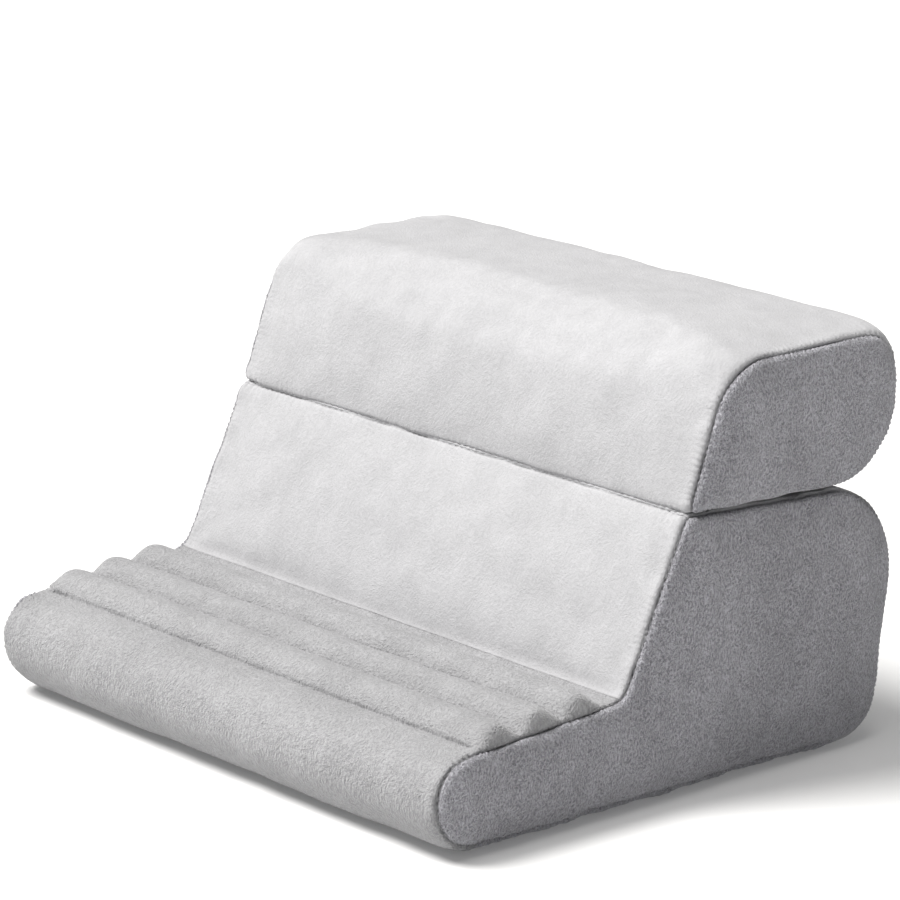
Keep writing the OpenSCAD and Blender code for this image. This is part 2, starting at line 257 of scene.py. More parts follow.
HEAD_SEAM_RADII = {1: 29, 2: 19}

RIBS = ["rib_foam_front", "rib_foam_middle", "rib_foam_rear"]
RIB_Y = [node_centre(name)[1] for name in RIBS]
RIB_STEP = RIB_Y[1] - RIB_Y[0]
GROOVES = [
    np.array([y, ledge_at(y)]) for y in [RIB_Y[0] + (k - 0.5) * RIB_STEP for k in range(len(RIBS) + 1)]
]


# ---------------- skins
class Stretch:
    """One stretch of a pad's outline: where it runs in mid-width and along the side seam."""

    def __init__(self, label, mid, seam, spacing, pin=0.0, edge=EDGE_WIDTH):
        count = max(3, round(length_of(mid) / spacing))
        self.label, self.pin = label, pin
        self.mid, self.seam = resample(mid, count), resample(seam, count)
        self.edges = np.broadcast_to(edge(self.mid[:-1]) if callable(edge) else edge, count)


EDGE_STEPS = [0, 0.8, 1.9, 3.4, 5.4, 8.2, 12, 16.5]
SIDE_RINGS = [0.8, 1.9, 3.4, 5.4]
SIDE_EDGE_WIDTH = 16
# a ring's greatest share of its panel, and the least gaps from grid to ring and from ring to seam
RING_SHARE, GRID_CLEAR, RING_CLEAR = 0.3, 0.55, 0.94


def width_rows(spacing, half):
    """X places across a pad, closer together near the side seams, with one at each end of the zip's gap."""
    inner = half - EDGE_STEPS[-1]
    count = round(2 * inner / spacing)
    left = [-half + s for s in EDGE_STEPS[:-1]]
    rows = np.array(left + list(np.linspace(-inner, inner, count + 1)) + [-x for x in reversed(left)])
    for end in (-ZIP_GAP_END, ZIP_GAP_END):
        rows[np.argmin(abs(rows - end))] = end
    return rows


def edge_weight(distance, width=EDGE_WIDTH):
    """0 on a seam, rising as a quarter round to 1 at the edge's width."""
    t = np.clip(1 - distance / width, 0, 1)
    return np.sqrt(1 - t * t)


def side_panel_points(seam, rings, grid):
    """Points of a flat side panel inside its seam: rings along it, then a grid, and the faces between."""
    n = len(seam)
    forward = np.roll(seam, -1, axis=0) - seam
    u = forward / np.linalg.norm(forward, axis=1)[:, None]
    normal = np.stack([u[:, 1], -u[:, 0]], axis=1)
    miter = normal + np.roll(normal, 1, axis=0)
    miter /= (1 + (normal * np.roll(normal, 1, axis=0)).sum(axis=1))[:, None]
    dense = resample(np.vstack([seam, seam[:1]]), 4 * n)
    room = (seam.max(axis=0) - seam.min(axis=0)).min()
    rings = [r for r in rings if r < RING_SHARE * room]
    layers = [seam] + [kept_apart(seam + r * miter, dense, r) for r in rings]
    faces = []
    for k in range(len(rings)):
        for j in range(n):
            jj = (j + 1) % n
            faces.append((k * n + j, k * n + jj, (k + 1) * n + jj, (k + 1) * n + j))
    last = layers[-1]
    low, high = last.min(axis=0), last.max(axis=0)
    ys = np.arange(low[0], high[0], grid)
    zs = np.arange(low[1], high[1], grid)
    inner = np.array([(y, z) for y in ys for z in zs])
    apart = np.linalg.norm(inner[:, None] - last[None], axis=2).min(axis=1)
    inner = inner[apart > GRID_CLEAR * grid]
    ring = list(range(n))
    flat = [Vector(p) for p in last] + [Vector(p) for p in inner]
    made, _, tris, origin = geometry.delaunay_2d_cdt(flat, [], [ring], 1, 1e-6)[:4]
    base = len(rings) * n
    index, extra = [], []
    for k, source in enumerate(origin):
        if source and source[0] < n:
            index.append(base + source[0])
        else:
            index.append(base + n + len(extra))
            extra.append(np.array(made[k]))
    faces += [tuple(index[i] for i in reversed(tri)) for tri in tris]
    return np.vstack(layers + [np.array(extra).reshape(-1, 2)]), faces


def kept_apart(ring, line, distance):
    """Slides the points of a ring that a corner has brought too near its line to between their neighbours."""
    good = distance_to(ring, line) > RING_CLEAR * distance
    n = len(ring)
    place = np.arange(n)
    return np.stack([np.interp(place, place[good], ring[good, k], period=n) for k in (0, 1)], axis=1)


def distance_to(points, line):
    """Distance of each point to the nearest point of a close-set line, a thousand points at a time."""
    blocks = [points[k : k + 1000] for k in range(0, len(points), 1000)]
    return np.concatenate([np.linalg.norm(b[:, None] - line[None], axis=2).min(axis=1) for b in blocks])


def build_skin(name, stretches, spacing, half=SEAM_X, bulge_by=SIDE_BULGE, grid=6.0, relabel=None):
    """A closed pad skin, with the label of each face and how firmly each point is pinned."""
    rows = width_rows(spacing, half)
    mid = np.vstack([s.mid[:-1] for s in stretches])
    seam = np.vstack([s.seam[:-1] for s in stretches])
    labels = np.concatenate([[s.label] * (len(s.mid) - 1) for s in stretches])
    pins = np.concatenate([[1.0] + [s.pin] * (len(s.mid) - 2) for s in stretches])
    edges = np.concatenate([s.edges for s in stretches])
    n = len(mid)
    verts, pin = [], []
    for i, x in enumerate(rows):
        weight = edge_weight(half - abs(x), edges)[:, None]
        verts.append(np.column_stack([np.full(n, x), seam + (mid - seam) * weight]))
        pin.append(np.ones(n) if i in (0, len(rows) - 1) else pins)
    faces, face_labels = [], []
    for i in range(len(rows) - 1):
        middle = (rows[i] + rows[i + 1]) / 2
        for j in range(n):
            jj = (j + 1) % n
            faces.append((i * n + j, (i + 1) * n + j, (i + 1) * n + jj, i * n + jj))
            face_labels.append(relabel(labels[j], abs(middle)) if relabel else labels[j])
    dense = resample(np.vstack([seam, seam[:1]]), 4 * n)
    flat, side_faces = side_panel_points(seam, SIDE_RINGS, grid)
    bulge = bulge_by * edge_weight(distance_to(flat[n:], dense), SIDE_EDGE_WIDTH)
    total = len(rows) * n
    for side, row, label in ((-1, 0, "left"), (1, len(rows) - 1, "right")):
        verts.append(np.column_stack([side * (half + bulge), flat[n:]]))
        pin.append(np.zeros(len(flat) - n))
        index = [row * n + k for k in range(n)] + [total + k for k in range(len(flat) - n)]
        total += len(flat) - n
        for face in side_faces:
            corner = [index[k] for k in face]
            faces.append(tuple(corner if side < 0 else corner[::-1]))
            face_labels.append(label)
    mesh = new_mesh(name, np.vstack(verts), faces)
    slots = sorted(set(face_labels))
    mesh.polygons.foreach_set("material_index", [slots.index(label) for label in face_labels])
    skin = link(name, mesh)
    group = skin.vertex_groups.new(name="pin")
    for k, w in enumerate(np.concatenate(pin)):
        if w > 0:
            group.add([k], float(w), "REPLACE")
    side_loops = [np.column_stack([np.full(len(dense), x), dense]) for x in (-half, half)]
    return skin, slots, side_loops


def new_mesh(name, verts, faces):
    """A mesh in metres from points in millimetres."""
    mesh = bpy.data.meshes.new(name)
    mesh.from_pydata((np.asarray(verts, float) * MM).tolist(), [], [tuple(int(k) for k in f) for f in faces])
    mesh.validate()
    mesh.update()
    return mesh


def link(name, data):
    """A new object in the scene for a mesh, a light or a camera."""
    made = bpy.data.objects.new(name, data)
    bpy.context.scene.collection.objects.link(made)
    return made


def coords(mesh):
    flat = np.empty(len(mesh.vertices) * 3, np.float32)
    mesh.vertices.foreach_get("co", flat)
    return flat.reshape(-1, 3).astype(float) / MM


def set_coords(mesh, points):
    mesh.vertices.foreach_set("co", (points * MM).astype(np.float32).ravel())
    mesh.update()


def normals_of(mesh):
    flat = np.empty(len(mesh.vertices) * 3, np.float32)
    mesh.vertex_normals.foreach_get("vector", flat)
    return flat.reshape(-1, 3).astype(float)


# ---------------- cloth
def inflate(skin):
    """Fills a pinned skin with cloth pressure and keeps each point's move under the cap, in millimetres."""
    before = coords(skin.data)
    cloth = skin.modifiers.new("cloth", "CLOTH")
    s = cloth.settings
    s.quality = 5
    s.mass = 0.2
    s.tension_stiffness = s.compression_stiffness = 25
    s.shear_stiffness = 10
    s.bending_stiffness = 0.8
    s.air_damping = 3
    s.use_pressure = True
    s.uniform_pressure_force = CLOTH_PRESSURE
    s.vertex_group_mass = "pin"
    s.effector_weights.gravity = 0
    cloth.collision_settings.use_collision = False
    cloth.point_cache.frame_start = 1
    cloth.point_cache.frame_end = CLOTH_FRAMES
    scene = bpy.context.scene
    for f in range(1, CLOTH_FRAMES + 1):
        scene.frame_set(f)
    graph = bpy.context.evaluated_depsgraph_get()
    after = coords(skin.evaluated_get(graph).data)
    skin.modifiers.remove(cloth)
    scene.frame_set(1)
    move = after - before
    size = np.linalg.norm(move, axis=1)
    print(skin.name, "moved", round(float(np.percentile(size, 50)), 2), round(float(size.max()), 2))
    limited = CLOTH_CAP * np.tanh(size / CLOTH_CAP) / np.maximum(size, 1e-6)
    set_coords(skin.data, before + move * limited[:, None])


def subdivide(skin, levels):
    """Applies Catmull-Clark subdivision and returns the plain mesh."""
    modifier = skin.modifiers.new("smooth", "SUBSURF")
    modifier.levels = modifier.render_levels = levels
    modifier.boundary_smooth = "PRESERVE_CORNERS"
    graph = bpy.context.evaluated_depsgraph_get()
    mesh = bpy.data.meshes.new_from_object(skin.evaluated_get(graph))
    old = skin.data
    skin.modifiers.remove(modifier)
    skin.data = mesh
    bpy.data.meshes.remove(old)
    return mesh


def crease_edges(mesh, lines, reach=0.4):
    """Keeps the edges that lie on a seam line sharp through subdivision."""
    tree = tree_of(np.vstack([points for points, _ in lines]))
    sharp = np.concatenate([np.full(len(points), amount) for points, amount in lines])
    points = coords(mesh)
    near = np.zeros(len(points))
    for k, p in enumerate(points):
        _, index, gap = tree.find(p)
        near[k] = sharp[index] if gap < reach else 0
    attribute = mesh.attributes.new("crease_edge", "FLOAT", "EDGE")
    ends = np.empty(len(mesh.edges) * 2, np.int32)
    mesh.edges.foreach_get("vertices", ends)
    attribute.data.foreach_set("value", near[ends.reshape(-1, 2)].min(axis=1).astype(np.float32))


def tree_of(points):
    tree = kdtree.KDTree(len(points))
    for k, p in enumerate(points):
        tree.insert(p, k)
    tree.balance()
    return tree


def cross_line(place, spacing=0.4, short=0):
    """Close points along X through a place of the YZ plane, up to the side seams or short of them."""
    reach = SEAM_X - short
    xs = np.arange(-reach, reach + spacing, spacing)
    return np.column_stack([xs, np.full(len(xs), place[0]), np.full(len(xs), place[1])])


def waves(points, wavelength, seed, count=7):
    """A smooth field between about -1 and 1: a few plane waves in seeded directions."""
    rng = np.random.default_rng(seed)
    total = np.zeros(len(points))
    for _ in range(count):
        direction = unit(rng.normal(size=3))
        k = 2 * math.pi / (wavelength * rng.uniform(0.75, 1.35))
        total += np.sin(points @ direction * k + rng.uniform(0, 2 * math.pi))
    return total / math.sqrt(count)


def sew(mesh, lines, pitch, depth, reach, seed, pinch=0.6, swell=0.95, width=0.55):
    """Pulls fabric down along seam lines, swells it beside them and puckers it across them, unevenly."""
    run = np.concatenate([run_along(line) for line in lines])
    tree = tree_of(np.vstack(lines))
    points, normal = coords(mesh), normals_of(mesh)
    gap, along = np.empty(len(points)), np.empty(len(points))
    for k, p in enumerate(points):
        _, index, gap[k] = tree.find(p)
        along[k] = run[index]
    wander = PUCKER_WANDER * waves(points, 9 * pitch, seed)
    strength = 0.55 + 0.45 * waves(points, 14 * pitch, seed + 1)
    bump = np.sin(2 * math.pi * along / pitch + wander) * np.exp(-gap / reach)
    bump = bump * np.minimum(gap / PUCKER_START, 1)
    rise = (gap / SWELL_PEAK) * np.exp(1 - gap / SWELL_PEAK)
    fall = np.exp(-((gap / width) ** 2))
    uneven = 1 + SEAM_UNEVENNESS * waves(points, 5 * pitch, seed + 2)
    move = depth * bump * strength + uneven * (swell * rise - pinch * fall)
    set_coords(mesh, points + normal * move[:, None])


def split_panels(skin, slots, names):
    """Cuts a skin into one closed panel for each label that has a piece's name."""
    mesh = skin.data
    quads = np.empty(len(mesh.loops), np.int32)
    mesh.loops.foreach_get("vertex_index", quads)
    quads = quads.reshape(-1, 4)
    index = np.empty(len(mesh.polygons), np.int32)
    mesh.polygons.foreach_get("material_index", index)
    points = coords(mesh)
    made = {}
    for k, label in enumerate(slots):
        if label not in names:
            continue
        chosen = quads[index == k]
        used, order = np.unique(chosen, return_inverse=True)
        panel = new_mesh(names[label], points[used], order.reshape(-1, 4))
        panel.shade_smooth()
        piece = link(names[label], panel)
        shell = piece.modifiers.new("thickness", "SOLIDIFY")
        shell.thickness = FABRIC * MM
        shell.offset = -1
        shell.use_rim = True
        made[label] = piece
    bpy.data.objects.remove(skin)
    return made


# ---------------- materials
def material(name):
    made = bpy.data.materials.new(name)
    made.use_nodes = True
    tree = made.node_tree
    return made, tree, tree.nodes["Principled BSDF"]


def node(tree, kind, inputs=None, **settings):
    made = tree.nodes.new("ShaderNode" + kind)
    for key, value in settings.items():
        setattr(made, key, value)
    for key, value in (inputs or {}).items():
        if isinstance(value, bpy.types.NodeSocket):
            tree.links.new(value, made.inputs[key])
        else:
            made.inputs[key].default_value = value
    return made


def ramp(tree, value, stops):
    made = node(tree, "ValToRGB", {"Fac": value})
    elements = made.color_ramp.elements
    while len(elements) < len(stops):
        elements.new(0.5)
    for element, (place, colour) in zip(elements, stops):
        element.position = place
        element.color = (*colour, 1)
    return made.outputs["Color"]


def grey(value):
    return (value, value, value)


def noise(tree, place, scale, detail, roughness=0.6):
    """A noise texture's grey value."""
    inputs = {"Vector": place, "Scale": scale, "Detail": detail, "Roughness": roughness}
    return node(tree, "TexNoise", inputs).outputs[0]


def plush_material(
    name, grain=900, raised=0.45, contrast=0.05, clouds=0.07, albedo=0.405, tint=(1, 1, 1.03)
):
    """Short brushed pile: fine strokes lying downwards, raised in millimetres, and slow changes of nap."""
    made, tree, shader = material(name)
    place = node(tree, "TexCoord").outputs["Object"]
    swirl = node(tree, "TexNoise", {"Vector": place, "Scale": 60, "Detail": 1}).outputs["Color"]
    bent = node(tree, "VectorMath", {0: swirl, 1: (0.008, 0.008, 0.008)}, operation="MULTIPLY").outputs[0]
    turned = node(tree, "VectorMath", {0: place, 1: bent}, operation="ADD").outputs[0]
    laid = {0: turned, "Rotation": (math.radians(35), 0, 0), "Scale": (1, 1, 0.6)}
    lying = node(tree, "Mapping", laid).outputs[0]
    strokes = noise(tree, lying, grain, 1)
    fibres = noise(tree, place, 1.8 * grain, 1)
    nap = noise(tree, place, 30, 2, 0.5)
    pile = node(tree, "Mix", {"Factor": 0.4, 2: strokes, 3: fibres}).outputs[0]
    shades = [(0.5 + 0.13 * k, albedo * (1 + contrast * k) * np.array(tint)) for k in (-1, 0, 1)]
    tone = ramp(tree, pile, shades)
    patches = noise(tree, lying, 130, 2)
    brushed = node(tree, "Mix", {"Factor": 0.45, 2: nap, 3: patches}).outputs[0]
    lay = ramp(tree, brushed, [(0.36, grey(1 - clouds)), (0.64, grey(1 + clouds / 2))])
    colour = node(tree, "Mix", {"Factor": 1.0, 6: tone, 7: lay}, data_type="RGBA", blend_type="MULTIPLY")
    tree.links.new(colour.outputs[2], shader.inputs["Base Color"])
    rough = node(tree, "MapRange", {"Value": brushed, "To Min": 0.82, "To Max": 1.0}).outputs[0]
    tree.links.new(rough, shader.inputs["Roughness"])
    bump = node(tree, "Bump", {"Height": pile, "Strength": 1.0, "Distance": raised * MM})
    tree.links.new(bump.outputs[0], shader.inputs["Normal"])
    shader.inputs["Sheen Weight"].default_value = 0.35
    shader.inputs["Sheen Roughness"].default_value = 0.4
    shader.inputs["Specular IOR Level"].default_value = 0.12
    return made


def plain_material(name, colour, roughness=0.8, scale=800, strength=0.3, spread=0.12):
    """A material with fine grain in its colour and height."""
    made, tree, shader = material(name)
    place = node(tree, "TexCoord").outputs["Object"]
    grain = node(tree, "TexNoise", {"Vector": place, "Scale": scale, "Detail": 4}).outputs[0]
    low, high = np.array(colour) * (1 - spread), np.array(colour) * (1 + spread)
    tree.links.new(ramp(tree, grain, [(0.3, low), (0.7, np.minimum(high, 1))]), shader.inputs["Base Color"])
    bump = node(tree, "Bump", {"Height": grain, "Strength": strength, "Distance": 0.0005})
    tree.links.new(bump.outputs[0], shader.inputs["Normal"])
    shader.inputs["Roughness"].default_value = roughness
    return made


PLUSH = plush_material("plush")
# the ribbed cover is the same plush painted darker, as painted shade on the front roll's lower side
PLUSH_RIBBED_PAINTED_SHADE = plush_material("plush_ribbed_painted_shade", raised=1.3, contrast=0.14, clouds=0.09, albedo=0.32)
# the side covers and the underside border are the same plush painted a little darker, as painted shade for the
# sides turned from the key, with much stronger grain in their colour standing in for light grazing the sides
PLUSH_SIDE_PAINTED_SHADE = plush_material(
    "plush_side_painted_shade", grain=1300, raised=1.8, contrast=0.38, clouds=0.12, albedo=0.365, tint=(1, 0.993, 1.07)
)
GRIP = plain_material("grip_fabric", (0.10, 0.10, 0.11), roughness=0.85, scale=1200)
PAINTS = {
    "plush": PLUSH,
    "grip_fabric": GRIP,
    "foam": plain_material("foam", (0.78, 0.76, 0.68), roughness=0.9, scale=1500, strength=0.6),
    "zip_tape": plain_material("zip_tape", (0.25, 0.25, 0.265), roughness=0.85, scale=1500),
    "zip_teeth": plain_material("zip_teeth", (0.30, 0.30, 0.32), roughness=0.45, scale=900, strength=0.1),
    "zip_metal": plain_material("zip_metal", (0.20, 0.20, 0.21), roughness=0.35, scale=600, strength=0.05),
    "thread": plain_material("thread", (0.36, 0.36, 0.375), roughness=0.7, scale=3000),
    "label": plain_material("label", (0.75, 0.75, 0.73), roughness=0.5, scale=2500),
}


def finish_piece(piece, slot, body, *replaced, fill=None, paint=None):
    """Paints a piece, by its slot unless told otherwise, seats it on its body and hides the CAD nodes it stands
    for.
    """
    piece.data.materials.clear()
    piece.data.materials.append(paint or PAINTS[slot])
    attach(piece, body)
    if replaced:
        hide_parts(*replaced)


# ---------------- the pads' covers
def finish_panels(skin, slots, pieces, side_loops, body, seed):
    """Cuts a pad's skin into its panels, brushes up the pile along their side seams and dresses them."""
    made = split_panels(skin, slots, {label: names[0] for label, names in pieces.items()})
    seams = tree_of(np.vstack(side_loops))
    for k, (label, piece) in enumerate(made.items()):
        _, node_name, paint = pieces[label]
        slot = "grip_fabric" if paint is GRIP else "plush"
        if paint is not GRIP:
            brush_up(piece, seams, seed + k)
        finish_piece(piece, slot, body, node_name, fill=0.9, paint=paint)
    make_stitches(f"{body}_side_stitches", side_loops, body)


TUFT_REACH, TUFT_SHARE = 2.3, 0.8
TUFT_RADIUS, TUFT_LENGTH = 0.23, 1.7
TUFT_SUNK, TUFT_RISE, TUFT_SLANT = 0.3, 0.3, 0.8
# no tuft grows this low, or this near the height of the base's top from this far before the hinge on
TUFT_OFF_FLOOR, TUFT_OFF_TOP, TUFT_BEFORE_HINGE = 1.5, 5, 8


def brush_up(piece, seams, seed):
    """Adds tufts of raised pile to a panel near the side seams, clear of the floor and of the folding gap."""
    rng = np.random.default_rng(seed)
    points, normal = coords(piece.data), normals_of(piece.data)
    gap = np.array([seams.find(p)[2] for p in points])
    near_top = abs(points[:, 2] - base_top(points[:, 1])) < TUFT_OFF_TOP
    in_fold = (points[:, 1] > HINGE[0] - TUFT_BEFORE_HINGE) & near_top
    near_seam = gap < TUFT_REACH * rng.uniform(0.3, 1, len(points))
    chosen = near_seam & (rng.random(len(points)) < TUFT_SHARE)
    chosen &= ~in_fold & (points[:, 2] > TUFT_OFF_FLOOR)
    roots, up = points[chosen], normal[chosen]
    lean = rng.normal(size=roots.shape)
    lean -= up * (lean * up).sum(axis=1)[:, None]
    lean /= np.linalg.norm(lean, axis=1)[:, None]
    across = np.cross(up, lean)
    long = TUFT_LENGTH * rng.uniform(0.5, 1, len(roots))
    tips = roots + (TUFT_RISE * up + TUFT_SLANT * lean) * long[:, None]
    corners = [
        roots - TUFT_SUNK * up + TUFT_RADIUS * (math.cos(a) * lean + math.sin(a) * across)
        for a in (0, 2 * math.pi / 3, 4 * math.pi / 3)
    ]
    count = len(roots)
    faces = []
    for k in range(count):
        a, b, c, tip = k, count + k, 2 * count + k, 3 * count + k
        faces += [(a, c, b), (a, b, tip), (b, c, tip), (c, a, tip)]
    tufts = new_mesh(piece.name + "_tufts", np.vstack([*corners, tips]), faces)
    graph = bpy.context.evaluated_depsgraph_get()
    panel = bpy.data.meshes.new_from_object(piece.evaluated_get(graph))
    whole = bmesh.new()
    whole.from_mesh(panel)
    whole.from_mesh(tufts)
    whole.to_mesh(piece.data)
    whole.free()
    piece.modifiers.clear()
    piece.data.shade_smooth()


def dip_at_fold(path):
    """Draws a stretch that starts at the folding seam inwards, most at the seam itself."""
    forward = np.gradient(path, axis=0)
    forward /= np.linalg.norm(forward, axis=1)[:, None]
    inwards = np.stack([forward[:, 1], -forward[:, 0]], axis=1)
    return path + inwards * (FOLD_DIP * (1 - edge_weight(run_along(path), FOLD_REACH)))[:, None]


def rib_end_width(points):
    """How far in from the side seam a rib starts to round off: late at its crest, early at its flanks."""
    across = np.linspace(-1, 1, len(points))
    return RIB_CREST_END + (RIB_FLANK_END - RIB_CREST_END) * across**2


def base_stretches(spacing=OUTLINE_SPACING):
    """The base's outline, clockwise from the nose's seam on the floor, cut at each mark."""
    ribs = range(1, 1 + len(RIBS))
    valley, face, back = 4, 5, 6
    zip_z = node_centre("base_zip_coil")[2]
    half_gap = ZIP_HALF_GAP * math.cos(REAR_LEAN)
    seam_corners = inset(BASE_CORNERS, BASE_DROPS)
    marks = [np.array([BOTTOM_LOW[1], 0]), *GROOVES, VALLEY, HINGE]
    marks += [np.array([rear_face(z), z]) for z in (zip_z + half_gap, zip_z - half_gap)]
    marks.append(np.array([BOTTOM_HIGH[1], 0]))
    mids = pieces_of(trace(BASE_CORNERS), marks)
    marks[back] = np.array(seam_corners[3][:2])
    seams = pieces_of(trace(seam_corners), marks)
    for k in ribs:
        mids[k] = rib_arc(mids[k][0], mids[k][-1], RIB_HEIGHT)
    for paths in (mids, seams):
        paths[face] = (dip_at_fold(paths[face][::-1] * [-1, 1]) * [-1, 1])[::-1]
        paths[back][0] = paths[face][-1]
    return [
        Stretch("ribbed", mids[0], seams[0], spacing),
        *[Stretch("ribbed", mids[k], seams[k], RIB_SPACING, edge=rib_end_width) for k in ribs],
        Stretch("ribbed", mids[valley], seams[valley], VALLEY_SPACING),
        Stretch("face", mids[face], seams[face], spacing),
        Stretch("back", mids[back], seams[back], spacing),
        Stretch("zip", mids[7], seams[7], spacing, pin=1),
        Stretch("heel", mids[8], seams[8], spacing),
        Stretch("bottom", mids[9], seams[9], 2 * spacing, pin=1),
    ]


def base_label(label, x):
    """The zip's gap and the grip fabric stop short of the sides."""
    if label == "zip" and x > ZIP_GAP_END:
        return "heel"
    if label == "bottom" and x > SEAM_X - BORDER_WIDTH:
        return "border"
    return label


BASE_PIECES = {
    "ribbed": ("ribbed_cover", "base_ribbed_panel", PLUSH_RIBBED_PAINTED_SHADE),
    "face": ("leaning_face_cover", "base_face_panel", PLUSH),
    "back": ("back_cover", "base_back_panel", PLUSH),
    "heel": ("heel_cover", "base_heel_panel", PLUSH),
    "bottom": ("grip_underside", "base_bottom_panel", GRIP),
    "border": ("underside_border", "base_bottom_panel", PLUSH_SIDE_PAINTED_SHADE),
    "left": ("base_left_cover", "base_left_panel", PLUSH_SIDE_PAINTED_SHADE),
    "right": ("base_right_cover", "base_right_panel", PLUSH_SIDE_PAINTED_SHADE),
}


def base_kept_clear(points):
    """Keeps the base on the floor and under the head pad, with room for the grip dots below."""
    inside = np.min(
        [
            SEAM_X - BORDER_WIDTH - abs(points[:, 0]),
            points[:, 1] - BOTTOM_LOW[1],
            BOTTOM_HIGH[1] - points[:, 1],
        ],
        axis=0,
    )
    points[:, 2] = np.maximum(points[:, 2], DOT_HEIGHT * edge_weight(inside, DOT_EDGE) * (inside > 0))
    behind = points[:, 1] > HINGE[0] + CLEAR_BEHIND_FOLD
    points[behind, 2] = np.minimum(points[behind, 2], base_top(points[behind, 1]))
    return points


def make_base():
    stretches = base_stretches()
    skin, slots, side_loops = build_skin("base_skin", stretches, ROW_SPACING, relabel=base_label)
    grooves = [cross_line(s.mid[0], short=GROOVE_SHORT) for s in stretches[1 : len(RIBS) + 2]]
    fold = cross_line(next(s for s in stretches if s.label == "back").mid[0])
    creases = [(p, SEAM_CREASE) for p in side_loops] + [(p, GROOVE_CREASE) for p in grooves]
    crease_edges(skin.data, creases + [(fold, SEAM_CREASE)])
    inflate(skin)
    mesh = subdivide(skin, COVER_LEVELS)
    soften(mesh, BASE_SEEDS["filling"])
    set_coords(mesh, base_kept_clear(coords(mesh)))
    sew(mesh, side_loops, seed=BASE_SEEDS["sides"], **SIDE_SEWING)
    sew(mesh, grooves, seed=BASE_SEEDS["grooves"], **GROOVE_SEWING)
    sew(mesh, [fold], seed=BASE_SEEDS["fold"], **FOLD_SEWING)
    set_coords(mesh, base_kept_clear(coords(mesh)))
    finish_panels(skin, slots, BASE_PIECES, side_loops, "base", BASE_SEEDS["tufts"])


HEAD_PIECES = {
    "wrap": ("head_wrap_cover", "head_wrap_panel", PLUSH),
    "under": ("head_under_cover", "head_bottom_panel", PLUSH),
    "left": ("head_left_cover", "head_left_panel", PLUSH_SIDE_PAINTED_SHADE),
    "right": ("head_right_cover", "head_right_panel", PLUSH_SIDE_PAINTED_SHADE),
}


def head_under_centre():
    y = REAR - HEAD_UNDER_R
    return np.array([y, base_top(y) + HEAD_GAP + HEAD_UNDER_R / math.cos(TOP_FALL)])


def head_edge_width(points):
    """How far in from the side seam the head pad starts to round off: wider over its top than on its face."""
    heights = [TOP - HEAD_FACE_DEPTH, TOP - HEAD_TOP_DEPTH]
    return np.interp(points[:, 1], heights, [HEAD_FACE_EDGE_WIDTH, HEAD_TOP_EDGE_WIDTH])


def head_stretches(spacing=OUTLINE_SPACING):
    """The head pad's outline, clockwise from the folding seam."""
    centre = head_under_centre()
    coil = node_centre("head_zip_coil")[1:]
    angle = math.atan2(*(coil - centre)[::-1])
    half = ZIP_HALF_GAP / HEAD_UNDER_R
    ways = [np.array([math.cos(a), math.sin(a)]) for a in (angle + half, angle - half)]
    edges = [centre + HEAD_UNDER_R * way for way in ways]
    seam_corners = inset(HEAD_CORNERS, HEAD_DROPS)
    for k, r in HEAD_SEAM_RADII.items():
        seam_corners[k] = (*seam_corners[k][:2], r)
    mids = pieces_of(trace(HEAD_CORNERS), [np.array(HEAD_CORNERS[0][:2]), *edges])
    seams = pieces_of(trace(seam_corners), [np.array(seam_corners[0][:2]), *edges])
    for paths in (mids, seams):
        paths[0] = dip_at_fold(paths[0])
    return [
        Stretch("wrap", mids[0], seams[0], spacing, edge=head_edge_width),
        Stretch("zip", mids[1], seams[1], spacing, pin=1),
        Stretch("under", mids[2], seams[2], spacing, pin=0.9),
    ]


def head_label(label, x):
    return "wrap" if label == "zip" and x > ZIP_GAP_END else label


def head_kept_clear(points):
    """Keeps the head pad above the base's top, behind the folding seam."""
    behind = points[:, 1] > HINGE[0] + CLEAR_BEHIND_FOLD
    points[behind, 2] = np.maximum(points[behind, 2], base_top(points[behind, 1]) + HEAD_GAP)
    return points


def make_head():
    stretches = head_stretches()
    skin, slots, side_loops = build_skin("head_skin", stretches, ROW_SPACING, relabel=head_label)
    fold = cross_line(stretches[0].mid[0])
    zip_edges = [cross_line(s.mid[0], short=SEAM_X - ZIP_GAP_END) for s in stretches[1:]]
    crease_edges(skin.data, [(p, SEAM_CREASE) for p in (*side_loops, fold, *zip_edges)])
    inflate(skin)
    mesh = subdivide(skin, COVER_LEVELS)
    soften(mesh, HEAD_SEEDS["filling"])
    set_coords(mesh, head_kept_clear(coords(mesh)))
    sew(mesh, side_loops, seed=HEAD_SEEDS["sides"], **SIDE_SEWING)
    sew(mesh, [fold], seed=HEAD_SEEDS["fold"], **FOLD_SEWING)
    set_coords(mesh, head_kept_clear(coords(mesh)))
    finish_panels(skin, slots, HEAD_PIECES, side_loops, "head", HEAD_SEEDS["tufts"])


def soften(mesh, seed, broad=(0.35, 70), fine=(0.15, 24)):
    """Slow unevenness of hand-filled padding: a broad and a fine one, each a height and a wavelength."""
    points, normal = coords(mesh), normals_of(mesh)
    uneven = broad[0] * waves(points, broad[1], seed) + fine[0] * waves(points, fine[1], seed + 1)
    set_coords(mesh, points + normal * uneven[:, None])


# ---------------- tubes, stitches and the folding seam
def ring_faces(count, sides):
    """Faces of a closed solid made of rings of points, with a cap at each end."""
    faces = [tuple(range(sides))]
    for k in range(count - 1):
        for j in range(sides):
            jj = (j + 1) % sides
            faces.append((k * sides + j, (k + 1) * sides + j, (k + 1) * sides + jj, k * sides + jj))
    last = (count - 1) * sides
    faces.append(tuple(last + j for j in reversed(range(sides))))
    return faces


